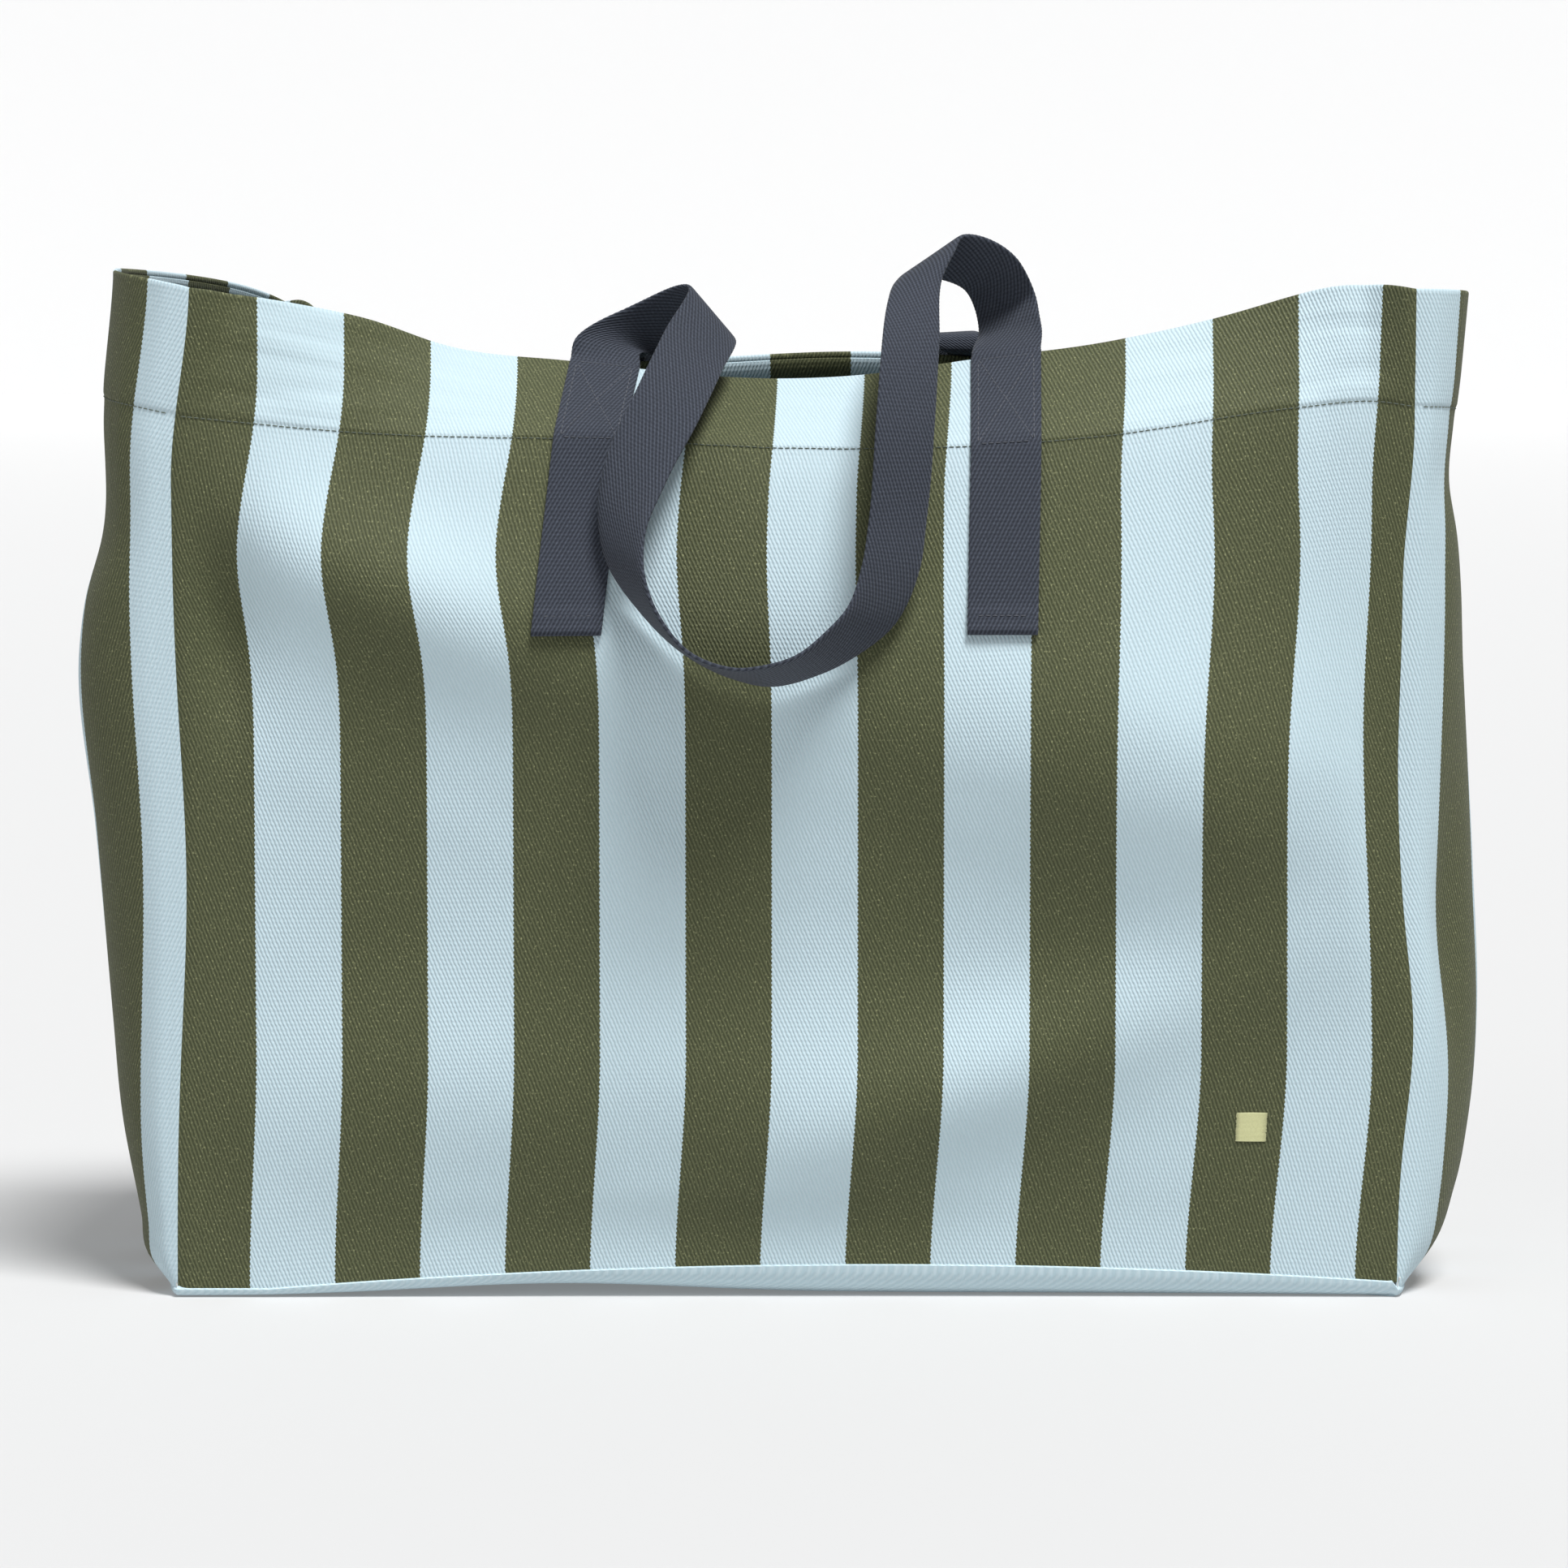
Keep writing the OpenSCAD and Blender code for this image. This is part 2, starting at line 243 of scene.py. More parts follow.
# Height of the hem's stitching at the start (u -1) and the end (u 1) of the other sides,
# and how far it rises above the straight line between them.
STITCH_ENDS = {
    "right": (437.5 * MM, 424 * MM),
    "back": (424 * MM, 424 * MM),
    "left": (424 * MM, 433 * MM),
}
STITCH_RISE = {"right": 0, "back": 15 * MM, "left": 13 * MM}

# Height of the base seam at the corners, and how much more at the middle of a side.
SEAM_LOW = 4 * MM
FRONT_SEAM_RISE = 12 * MM
BACK_SEAM_RISE = 8 * MM

# How far the panels belly outwards at their middle.
FRONT_BELLY = 20 * MM
BACK_BELLY = 10 * MM
BACK_WAVES = 3 * MM
RIM_DIP = 5 * MM         # of the front right corner of the rim

# Bulge of the end panels beyond the corner seams, as (height, bulge), in mm.
LEFT_BULGE = [
    (0, 2), (17, 19), (35, 22), (84, 31.5), (132, 36.7), (228, 45.5), (317, 51), (341, 47.5),
    (373, 38.5), (454, 38.8), (500, 36),
]
RIGHT_BULGE = [
    (0, 3), (18, 21), (49, 33.6), (80, 40), (136, 46), (210, 43), (308, 36), (373, 31),
    (401, 25), (454, 29), (500, 32),
]

# Where across an end panel it bulges most, as a share of the depth from the front seam;
# for the right one as (height, share). The lower the roundness, the squarer the bulge.
LEFT_TURN = 0.19
LEFT_ROUNDNESS = 0.56
RIGHT_ROUNDNESS = 0.6
RIGHT_DENT = 9 * MM
RIGHT_TURN = [(0, 0.2), (60, 0.24), (140, 0.36), (215, 0.3), (300, 0.24), (400, 0.2), (500, 0.14)]

# Soft folds of the front panel, in mm: middle, half sizes, how far they stand out, and
# how much they rise for each mm to the right.
Fold = namedtuple("Fold", "x z wide tall out turn")
FRONT_FOLDS = [
    Fold(-277, 335, 26, 52, -14, 0),
    Fold(-195, 350, 95, 38, 17, -0.35),
    Fold(0, 305, 110, 48, 7, -0.3),
    Fold(190, 262, 105, 70, 19, -0.2),
    Fold(-60, 100, 210, 52, 10, 0),
    Fold(110, 114, 120, 34, 10, 0.38),
]


def middle(u):
    return np.clip(1 - u * u, 0, 1)


def stitch_height(side, u):
    if side is FRONT:
        return outline(FRONT_STITCH, u * HALF_W / MM) * MM
    start, end = STITCH_ENDS[side.name]
    fullness = 0.5 if side is LEFT else 1
    rise = STITCH_RISE[side.name] * middle(u) ** fullness
    return start + (end - start) * (u + 1) / 2 + rise


def hem_lean(side, u):
    """How far the hem leans inwards, in radians."""
    if side is FRONT:
        lean = outline(FRONT_LEAN, u * HALF_W / MM) * smooth(1 - np.abs(u), 0, 0.08)
    elif side is BACK:
        lean = BACK_LEAN * (1 - np.abs(u) ** 6) - BACK_LEAN_DIP * bump(u, -0.15, 0.28)
    else:
        lean = 0 * u
    return np.radians(lean)


def base_seam_height(side, u):
    """The base panel turns up most at the middle of the front and the back."""
    if side is FRONT:
        return SEAM_LOW + FRONT_SEAM_RISE * np.clip(1 - (u - 0.15) ** 2, 0, 1)
    if side is BACK:
        return SEAM_LOW + BACK_SEAM_RISE * middle(u)
    return SEAM_LOW + 0 * u


def above_stitch(t):
    """How far up the hem t is, as a share of it, with a soft bend at the stitching."""
    soft = 0.1
    return (t - 1 + np.sqrt((t - 1) ** 2 + soft ** 2)) / 2


def rim_turn_up(t):
    """The last part of the back hem turns from lying inwards to upright."""
    start = 1.7
    return np.clip(t - start, 0, None) ** 2 / (2 * (2 - start))


def corner_dip(side, u):
    """How much lower the rim stands round the front right corner."""
    if side is FRONT:
        return RIM_DIP * smooth(u, 0.8, 1)
    if side is RIGHT:
        return RIM_DIP * smooth(-u, -1, 1)
    return 0 * u


def height(side, u, t):
    low = base_seam_height(side, u)
    line = stitch_height(side, u)
    wall = low + (line - low) * np.clip(t, 0, 1)
    rise = np.clip(t - 1, 0, None) * np.cos(hem_lean(side, u))
    if side is BACK:
        rise = rise + rim_turn_up(t) * np.sin(hem_lean(side, u))
    return wall + rise * HEM - corner_dip(side, u) * np.clip(t - 1, 0, None)


def front_relief(x, z):
    """Soft folds of the front panel, in metres out from the flat wall."""
    x, z = x / MM, z / MM
    out = 0
    for fold in FRONT_FOLDS:
        dx = x - fold.x
        dz = z - fold.z - fold.turn * dx
        out = out + fold.out * hill(dx, dz, fold.wide, fold.tall)
    return out * MM


def crumple(x, z):
    """The cloth's small unevenness, in metres out; x and z in mm."""
    broad = np.sin(x / 31 + 1.7 * np.sin(z / 57)) * np.sin(z / 43 + 1.3 * np.sin(x / 71))
    fine = np.sin((x + 0.8 * z) / 13 + 2 * np.sin(z / 39)) * np.sin((z - 0.6 * x) / 23)
    return (0.55 * broad + 0.16 * fine) * MM


def round_end(part, turn, roundness):
    """The plan of a bulging end panel: round near the front seam, where part is 0, up to
    its highest at turn, and then nearly straight to the round back corner."""
    rising = (1 - np.clip(1 - part / turn, 0, 1) ** 2) ** roundness
    falling = (1 - np.clip((part - turn) / (1 - turn), 0, 1) ** 3) ** roundness
    return rising * falling


def front_out(u, t, z, crumpled):
    edge = smooth(1 - np.abs(u), 0, 0.1)
    relief = front_relief(u * HALF_W, z) * smooth(2 - t, 0.6, 1.2) * edge * smooth(t, 0, 0.1)
    belly = FRONT_BELLY * middle(u) * np.sin(math.pi * np.clip(t, 0, 1) ** 2)
    return belly + relief + crumpled * edge


def back_out(u, t, crumpled):
    wall = np.clip(t, 0, 1)
    waves = BACK_WAVES * np.sin(9 * u + 5 * wall) * middle(u) * np.sin(math.pi * wall)
    belly = BACK_BELLY * middle(u) * np.sin(math.pi * wall)
    turned_up = HEM * np.sin(hem_lean(BACK, u)) * rim_turn_up(t)
    return belly + waves + turned_up + crumpled * middle(u)


def left_out(u, z):
    bulge = outline(LEFT_BULGE, z / MM) * MM
    return bulge * round_end((1 - u) / 2, LEFT_TURN, LEFT_ROUNDNESS)


def right_out(u, z):
    bulge = outline(RIGHT_BULGE, z / MM) * MM
    dent = RIGHT_DENT * bump(z, 175 * MM, 70 * MM) * bump(u, -0.82, 0.12)
    turn = outline(RIGHT_TURN, z / MM)
    return bulge * round_end((1 + u) / 2, turn, RIGHT_ROUNDNESS) - dent


def out_of_wall(side, u, t, z):
    """How far the cloth stands out from the upright plane through its corner seams."""
    if side is LEFT:
        return left_out(u, z)
    if side is RIGHT:
        return right_out(u, z)
    hem = -above_stitch(t) * HEM * np.sin(hem_lean(side, u))
    crumpled = crumple(u * side.half / MM, t * HEM_LINE / MM) * smooth(t, 0, 0.15)
    if side is FRONT:
        return hem + front_out(u, t, z, crumpled)
    return hem + back_out(u, t, crumpled)


def seam_drift(points):
    """The corner seams don't stand quite straight; both sides of one move together. left,
    right and pull are how far the seams move to the right, in mm."""
    x, y, z = points[..., 0], points[..., 1], points[..., 2] / MM
    front = np.clip(-y / HALF_D, 0, 1) ** 2
    left = 6 * bump(z, 205, 95) + 10 * smooth(z, 400, 500)
    right = 7 * bump(z, 130, 55) + 5 * smooth(z, 350, 430) - 1.5 * bump(z, 265, 50)
    pull = 46 * smooth(z, 400, 520) * smooth(y / HALF_D, -0.4, 1)
    near_left = smooth(-x / HALF_W, 0.6, 1)
    near_right = smooth(x / HALF_W, 0.6, 1)
    moved = points.copy()
    moved[..., 0] += MM * (front * (left * near_left + right * near_right) + pull * near_left)
    return moved


def surface(side, u, t):
    """Points of the outer face of the cloth."""
    u, t = np.broadcast_arrays(np.asarray(u, float), np.asarray(t, float))
    z = height(side, u, t)
    out = side.reach + out_of_wall(side, u, t, z)
    points = (
        side.along * (u * side.half)[..., None]
        + side.out * out[..., None]
        + UP * z[..., None]
    )
    return seam_drift(points)


def surface_normals(side, u, t):
    step = 0.004
    along = surface(side, u + step, t) - surface(side, u - step, t)
    up = surface(side, u, t + step) - surface(side, u, t - step)
    return unit(np.cross(along, up))


# ---- Meshes ----

def add_mesh(name, points, faces, uv, material, sharp_turn=50):
    mesh = bpy.data.meshes.new(name)
    mesh.from_pydata(points.reshape(-1, 3).tolist(), [], faces)
    layer = mesh.uv_layers.new(name="cloth")
    corner = np.empty(len(mesh.loops), int)
    mesh.loops.foreach_get("vertex_index", corner)
    layer.data.foreach_set("uv", uv.reshape(-1, 2)[corner].astype(np.float32).ravel())
    mesh.polygons.foreach_set("use_smooth", [True] * len(mesh.polygons))
    mesh.materials.append(material)
    mesh.validate()
    if sharp_turn:
        mesh.set_sharp_from_angle(angle=math.radians(sharp_turn))
    obj = bpy.data.objects.new(name, mesh)
    bpy.context.scene.collection.objects.link(obj)
    return obj


def grid_normals(grid):
    down = np.gradient(grid, axis=0)
    across = np.gradient(grid, axis=1)
    return unit(np.cross(across, down))


def tube_faces(rings, sides, first=0):
    """Faces of a closed tube; its rings of points follow each other from first on."""
    faces = []
    for r in range(rings - 1):
        for k in range(sides):
            n = (k + 1) % sides
            a, b = first + r * sides, first + (r + 1) * sides
            faces.append((a + k, b + k, b + n, a + n))
    last = first + (rings - 1) * sides
    faces.append(tuple(first + k for k in range(sides)))
    faces.append(tuple(last + k for k in reversed(range(sides))))
    return faces


def shell_faces(outer_rows, rows, columns):
    """Faces of a closed sheet; its rows go up the outer face, over the top edge and down
    the inner face."""
    last = columns - 1
    faces = []
    for r in range(rows):
        a, b = r * columns, (r + 1) % rows * columns
        for c in range(last):
            faces.append((a + c, a + c + 1, b + c + 1, b + c))
    for r in range(outer_rows - 1):
        opposite = rows - 1 - r
        rim = (r, r + 1, opposite - 1, opposite)
        faces.append(tuple(i * columns for i in rim))
        faces.append(tuple(i * columns + last for i in reversed(rim)))
    top = range(outer_rows - 1, rows - outer_rows + 1)
    faces.append(tuple(i * columns for i in top))
    faces.append(tuple(i * columns + last for i in reversed(top)))
    return faces


def add_shell(name, grid, uv, thickness, material, round_steps=5):
    """A closed sheet below the outer grid (rows go up, columns to the right seen from
    outside) with a rounded top edge."""
    normals = grid_normals(grid)
    thick = np.broadcast_to(thickness, grid.shape[:2])[..., None]
    inner = grid - normals * thick
    up = unit(grid[-1] - grid[-2])
    radius = thick[-1] / 2
    centre = grid[-1] - normals[-1] * radius
    angles = math.pi * np.arange(1, round_steps) / round_steps
    cap = np.array([
        centre + radius * (math.cos(a) * normals[-1] + math.sin(a) * up) for a in angles
    ])
    loop = np.concatenate([grid, cap, inner[::-1]])
    loop_uv = np.concatenate([uv, np.repeat(uv[-1:], len(cap), axis=0), uv[::-1]])
    faces = shell_faces(len(grid), *loop.shape[:2])
    return add_mesh(name, loop, faces, loop_uv, material)


WEB_SIDES = 28           # points round the webbing
WEB_SQUARENESS = 0.16    # of its narrow edges; 1 would make them round
WEB_FLATNESS = 0.55      # of its faces; 1 would make them round
WEB_SCALLOP = 0.25 * MM  # how far the weft threads stand out at the edges
WEB_WEFT = 2.1 * MM      # from one weft thread to the next


def add_webbing(name, left, right, start, material, thickness=WEB_T):
    """Webbing between two edge lines. start is its place along the strap, in metres."""
    centre = (left + right) / 2
    across = right - left
    normal = unit(np.cross(across, unit(np.gradient(centre, axis=0))))
    along = start + distance_along(centre)
    angles = 2 * math.pi * (np.arange(WEB_SIDES) + 0.5) / WEB_SIDES
    sideways = np.sign(np.cos(angles)) * np.abs(np.cos(angles)) ** WEB_SQUARENESS
    upwards = np.sign(np.sin(angles)) * np.abs(np.sin(angles)) ** WEB_FLATNESS
    scallop = WEB_SCALLOP * np.abs(np.sin(math.pi * along / WEB_WEFT))
    half = np.linalg.norm(across, axis=1) / 2 + scallop
    thick = np.broadcast_to(thickness, len(along))
    points = (
        centre[:, None]
        + unit(across)[:, None] * (half[:, None] * sideways)[..., None]
        + normal[:, None] * (thick[:, None] / 2 * upwards)[..., None]
    )
    uv = np.stack(
        np.broadcast_arrays((WEB_W / 2 * sideways)[None, :], along[:, None]), axis=-1
    )
    return add_mesh(name, points, tube_faces(len(points), WEB_SIDES), uv, material)


STITCH_R = 0.28 * MM


def add_stitches(name, lines, material, pitch=3.2 * MM, length=2.4 * MM):
    """Short thread stitches along (line, normals) pairs, each a small pillow half sunk in."""
    rings, sides = 5, 6
    points, faces, uv = [], [], []
    size = STITCH_R * np.sin(math.pi * np.linspace(0.12, 0.88, rings)) ** 0.6
    for line, normals in lines:
        along = distance_along(line)
        for start in np.arange(pitch / 2, along[-1] - length, pitch):
            places = start + length * np.linspace(0, 1, rings)
            centres = np.stack([np.interp(places, along, axis) for axis in line.T], axis=1)
            up = unit(np.stack([np.interp(places, along, axis) for axis in normals.T], axis=1))
            side = unit(np.cross(up, unit(np.gradient(centres, axis=0))))
            faces += [face[::-1] for face in tube_faces(rings, sides, len(points))]
            for r in range(rings):
                for k in range(sides):
                    angle = 2 * math.pi * k / sides
                    towards = math.cos(angle) * side[r] + math.sin(angle) * up[r]
                    points.append(centres[r] + size[r] * towards)
                    uv.append((k / sides * MM, places[r]))
    return add_mesh(name, np.array(points), faces, np.array(uv), material, sharp_turn=0)


# ---- Materials ----

class Shader:
    """A material's nodes, with short ways to add and join them."""

    def __init__(self, name):
        self.material = bpy.data.materials.new(name)
        self.material.use_nodes = True
        self.tree = self.material.node_tree
        self.surface = self.tree.nodes["Principled BSDF"]

    def add(self, kind, inputs=(), **settings):
        node = self.tree.nodes.new(kind)
        for key, value in settings.items():
            setattr(node, key, value)
        for i, value in dict(inputs).items():
            self.join(value, node.inputs[i])
        return node

    def join(self, value, socket):
        if isinstance(value, bpy.types.NodeSocket):
            self.tree.links.new(value, socket)
        else:
            socket.default_value = value

    def math(self, operation, *values):
        return self.add("ShaderNodeMath", enumerate(values), operation=operation).outputs[0]

    def mix(self, part, a, b):
        node = self.add("ShaderNodeMix", data_type="RGBA")
        for name, value in (("Factor_Float", part), ("A_Color", a), ("B_Color", b)):
            self.join(value, next(s for s in node.inputs if s.identifier == name))
        return next(s for s in node.outputs if s.identifier == "Result_Color")

    def cloth_mm(self):
        """The cloth's own coordinates in millimetres: across and along."""
        place = self.add("ShaderNodeUVMap", uv_map="cloth").outputs[0]
        split = self.add("ShaderNodeSeparateXYZ", {0: place}).outputs
        return self.scaled(split[0], 1 / MM), self.scaled(split[1], 1 / MM)

    def scaled(self, value, factor):
        return self.math("MULTIPLY", value, factor)

    def noise(self, x, y, x_scale, y_scale, detail=2.0):
        """Smooth noise; a scale is its detail for each mm."""
        parts = {0: self.scaled(x, x_scale), 1: self.scaled(y, y_scale)}
        place = self.add("ShaderNodeCombineXYZ", parts).outputs[0]
        node = self.add("ShaderNodeTexNoise", {"Vector": place, "Scale": 1.0, "Detail": detail})
        return node.outputs[0]

    def wave(self, value, length):
        """From 0 to 1 and back over each length of the value."""
        turn = self.scaled(self.math("DIVIDE", value, length), 2 * math.pi)
        return self.math("MULTIPLY_ADD", self.math("COSINE", turn), 0.5, 0.5)

    def rise(self, value, low, high):
        """0 below low, 1 above high, and a straight rise in between."""
        return self.add("ShaderNodeMapRange", {0: value, 1: low, 2: high}).outputs[0]

    def bump(self, height_value, depth):
        node = self.add("ShaderNodeBump", {"Height": height_value, "Distance": depth})
        self.join(node.outputs[0], self.surface.inputs["Normal"])

    def finish(self, colour, roughness, sheen=0.0, shine=0.25):
        self.join(colour, self.surface.inputs["Base Color"])
        self.surface.inputs["Roughness"].default_value = roughness
        self.surface.inputs["Specular IOR Level"].default_value = shine
        self.surface.inputs["Sheen Weight"].default_value = sheen
        self.surface.inputs["Sheen Roughness"].default_value = 0.5
        return self.material


OLIVE = (0.047, 0.055, 0.022, 1)
OLIVE_FLECK = (0.23, 0.24, 0.12, 1)
PALE_BLUE = (0.565, 0.69, 0.745, 1)
BLUE_THREAD = (0.40, 0.56, 0.63, 1)
NAVY = (0.0165, 0.020, 0.0295, 1)
NAVY_FLECK = (0.085, 0.099, 0.131, 1)
WHITE_THREAD = (0.8, 0.8, 0.78, 1)
GREY_GREEN_THREAD = (0.11, 0.135, 0.105, 1)
NAVY_THREAD = (0.10, 0.108, 0.13, 1)
YELLOW_THREAD = (0.72, 0.72, 0.40, 1)

# Of the twill, in mm: from rib to rib, across for each mm up, how far a rib strays, and
# from weft thread to weft thread.
RIB = 1.9
RIB_LEAN = 0.4
RIB_STRAY = 0.95
WEFT = 2.4
STRIPE_EDGE_WEFT = 2.3   # steps along the edge of a stripe
STRIPE_EDGE_DEPTH = 0.5

# Of the webbing's twill, in mm.
WEB_RIB = 2.0
WEB_RIB_LEAN = -0.45

WEAVE_DEPTH = 0.3 * MM
BLUE_RIBS = 0.5          # how much of the darker thread shows between the blue ribs
OLIVE_RIBS = 0.34        # and of the paler thread between the olive ones


def ribs(shader, across, along, lean, length, stray=0.0):
    """Steep ribs of a twill, from 0 between them to 1 on them."""
    diagonal = shader.math("ADD", across, shader.scaled(along, lean))
    return shader.wave(shader.math("ADD", diagonal, stray), length)


def twill(shader, across, along):
    """The weave's height, with its ribs broken into separate threads, and the ribs."""
    stray = shader.scaled(shader.noise(across, along, 0.35, 0.35), RIB_STRAY)
    rib = ribs(shader, across, along, RIB_LEAN, RIB, stray)
    return shader.math("MULTIPLY_ADD", shader.wave(along, WEFT), 0.25, rib), rib


def striped_twill(name, first_edge):
    """Olive and pale blue stripes; pale blue starts at first_edge mm from the seam."""
    shader = Shader(name)
    across, along = shader.cloth_mm()
    weave, rib = twill(shader, across, along)
    scallop = shader.scaled(shader.wave(along, STRIPE_EDGE_WEFT), STRIPE_EDGE_DEPTH)
    place = shader.math("SUBTRACT", shader.math("ADD", across, scallop), first_edge)
    part = shader.math("FRACT", shader.math("DIVIDE", place, 2 * STRIPE / MM))
    is_olive = shader.math("GREATER_THAN", part, 0.5)

    flecks = shader.rise(shader.noise(across, along, 1.1, 0.75, detail=1.0), 0.62, 0.74)
    pale = shader.math("ADD", flecks, shader.scaled(rib, OLIVE_RIBS))
    olive = shader.mix(pale, OLIVE, OLIVE_FLECK)
    blue = shader.mix(shader.scaled(rib, BLUE_RIBS), PALE_BLUE, BLUE_THREAD)
    shader.bump(weave, WEAVE_DEPTH)
    return shader.finish(shader.mix(is_olive, blue, olive), 0.7, sheen=0.03, shine=0.35)


def plain_twill():
    """The base panel's cloth runs the other way."""
    shader = Shader("plain_twill")
    across, along = shader.cloth_mm()
    weave, rib = twill(shader, along, across)
    blue = shader.mix(shader.scaled(rib, BLUE_RIBS), PALE_BLUE, BLUE_THREAD)
    shader.bump(weave, WEAVE_DEPTH)
    return shader.finish(blue, 0.85, sheen=0.03)


def webbing_cloth():
    shader = Shader("webbing")
    across, along = shader.cloth_mm()
    rib = ribs(shader, across, along, WEB_RIB_LEAN, WEB_RIB)
    grain = shader.wave(along, WEB_WEFT / MM)
    patchy = shader.noise(across, along, 0.9, 0.9)
    light = shader.math("MULTIPLY", shader.math("MULTIPLY_ADD", grain, 0.3, rib), patchy)
    shader.bump(shader.math("MULTIPLY_ADD", grain, 0.35, rib), WEAVE_DEPTH)
    return shader.finish(shader.mix(light, NAVY, NAVY_FLECK), 0.8, sheen=0.08)


def thread(name, colour, fuzz=0.0):
    """Sewing thread, with darker strands; fuzz is how rough it is, in mm."""
    shader = Shader(name)
    across, along = shader.cloth_mm()
    strands = shader.noise(across, along, 1.5, 1.5, detail=3.0)
    dark = tuple(0.7 * c for c in colour[:3]) + (1,)
    shader.bump(strands, (0.1 + fuzz) * MM)
    return shader.finish(shader.mix(strands, colour, dark), 0.7, sheen=0.2)


# ---- Cloth pieces ----

# Where the first pale blue stripe of a side starts, in mm from the seam on its left.
STRIPE_START = {"front": 36.0, "right": -13.8, "back": -25.4, "left": -18.8}
FACE_COLUMNS, END_COLUMNS = 240, 120

# Where the front's stripes stray to the right, in mm: middle, half sizes, how far.
Stray = namedtuple("Stray", "x z wide tall aside")
FRONT_STRAYS = [
    Stray(-200, 366, 165, 42, -9),
    Stray(249, 362, 77, 67, 6.7),
    Stray(300, 331, 40, 122, -10.9),
]


def stripe_wander(x, z):
    """How far the stripes stray to the right of straight lines on the front, in mm."""
    low = 5.9 * smooth(z, 5, 122) * (1 + 0.37 * x / 300)
    high = 3.1 * smooth(z, 395, 455)
    return low + high + sum(
        stray.aside * hill(x - stray.x, z - stray.z, stray.wide, stray.tall)
        for stray in FRONT_STRAYS
    )


def across_cloth(side, grid):
    """The cloth's own coordinate across a grid, from its seam on the left. On the front
    the stripes are straight to the eye, apart from where they stray."""
    if side is FRONT:
        nearer = EYE_DISTANCE / (EYE_DISTANCE + grid[..., 1] + HALF_D)
        x = grid[..., 0] * nearer
        z = EYE_TARGET[2] + (grid[..., 2] - EYE_TARGET[2]) * nearer
        return x + HALF_W - MM * stripe_wander(x / MM, z / MM)
    if side is BACK:
        return HALF_W - grid[..., 0]
    flat = grid[..., :2]
    gaps = np.linalg.norm(np.diff(flat, axis=1), axis=2)
    along = np.concatenate([np.zeros((len(grid), 1)), np.cumsum(gaps, axis=1)], axis=1)
    if side is LEFT:
        return along[:, -1:] - along
    return along


def cloth_uv(side, grid, t):
    """The cloth's own coordinates: across it, and along it from the base seam."""
    along = np.where(t < 1, t * WALL, WALL + (t - 1) * HEM)
    return np.stack(np.broadcast_arrays(across_cloth(side, grid), along), axis=-1)


def columns(side):
    """Values of u for the columns of a grid. They are closer at the ends of an end panel."""
    if side in (FRONT, BACK):
        return np.linspace(-1, 1, FACE_COLUMNS + 1)[None, :]
    return np.sin(math.pi / 2 * np.linspace(-1, 1, END_COLUMNS + 1))[None, :]


def pucker(side, u, t):
    """Small ripples that the hem's stitching draws into the cloth, and the grooves of the
    stitching and the corner seams."""
    along = u * side.half / MM
    near = np.exp(-(np.abs(t - 1) * HEM / (9 * MM)) ** 1.3)
    ripple = 0.12 * np.sin(along / 2.1 + 3 * np.sin(along / 17)) + 0.28 * np.sin(along / 5.3)
    groove = 0.6 * bump(t, 1, 1.5 * MM / HEM)
    seam = 1.4 * bump(1 - np.abs(u), 0, 2.2 * MM / side.half)
    return (near * ripple - groove - seam) * MM


def cloth_grid(side, rows, inset=0.0):
    """Points of a layer of cloth and its own coordinates; rows are values of t."""
    u = columns(side)
    t = rows[:, None]
    grid = surface(side, u, t)
    grid = grid + grid_normals(grid) * (pucker(side, u, t) - inset)[..., None]
    return grid, cloth_uv(side, grid, t)


def panel_node(side):
    return side.name + ("_panel" if side in (FRONT, BACK) else "_end_panel")


# Rows of a panel are closest at the hem's stitching. Its rim is the fold of the hem, so
# it is as thick there as both layers.
WALL_ROWS = np.linspace(0, 0.97, 130)
STITCH_ROWS = np.linspace(0.975, 1.025, 14)
HEM_ROWS = np.linspace(1.04, 2, 44)
RIM_THICKER = 0.9


def add_panel(side, material):
    rows = np.concatenate([WALL_ROWS, STITCH_ROWS, HEM_ROWS])
    grid, uv = cloth_grid(side, rows)
    thick = CLOTH * (1 + RIM_THICKER * smooth(rows, 1.96, 1.98))[:, None]
    obj = add_shell(panel_node(side) + "_cloth", grid, uv, thick, material)
    finish_piece(obj, "striped_twill", panel_node(side))


def add_turn_in(side, material):
    """The inner layer of the hem."""
    grid, uv = cloth_grid(side, np.linspace(1.06, 1.965, 30), LAYER)
    obj = add_shell("hem_turn_in_" + side.name, grid, uv, CLOTH, material)
    finish_piece(obj, "striped_twill", "hem_turn_in")


def add_overlock(side, material):
    """Fuzzy white thread on the raw edge of the hem's inner layer."""
    grid, uv = cloth_grid(side, np.linspace(0.99, 1.075, 9), LAYER)
    fuzz = random.uniform(0, 1, grid.shape[:2])
    thick = CLOTH + (0.5 + 1.1 * fuzz) * MM
    grid[0, :, 2] -= 1.2 * MM * random.uniform(0, 1, grid.shape[1])
    obj = add_shell("hem_overlock_" + side.name, grid, uv, thick, material)
    finish_piece(obj, "overlock", "hem_overlock")


def add_topstitch(side, material):
    u = np.linspace(-0.995, 0.995, 400)
    t = np.ones_like(u)
    normals = surface_normals(side, u, t)
    line = surface(side, u, t) + normals * (pucker(side, u, t) + 0.2 * MM)[:, None]
    obj = add_stitches("hem_topstitch_" + side.name, [(line, normals)], material)
    finish_piece(obj, "hem_thread", "hem_topstitch")


def finish_piece(obj, slot, *nodes, body="bag"):
    if body:
        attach(obj, body)
    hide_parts(*nodes)


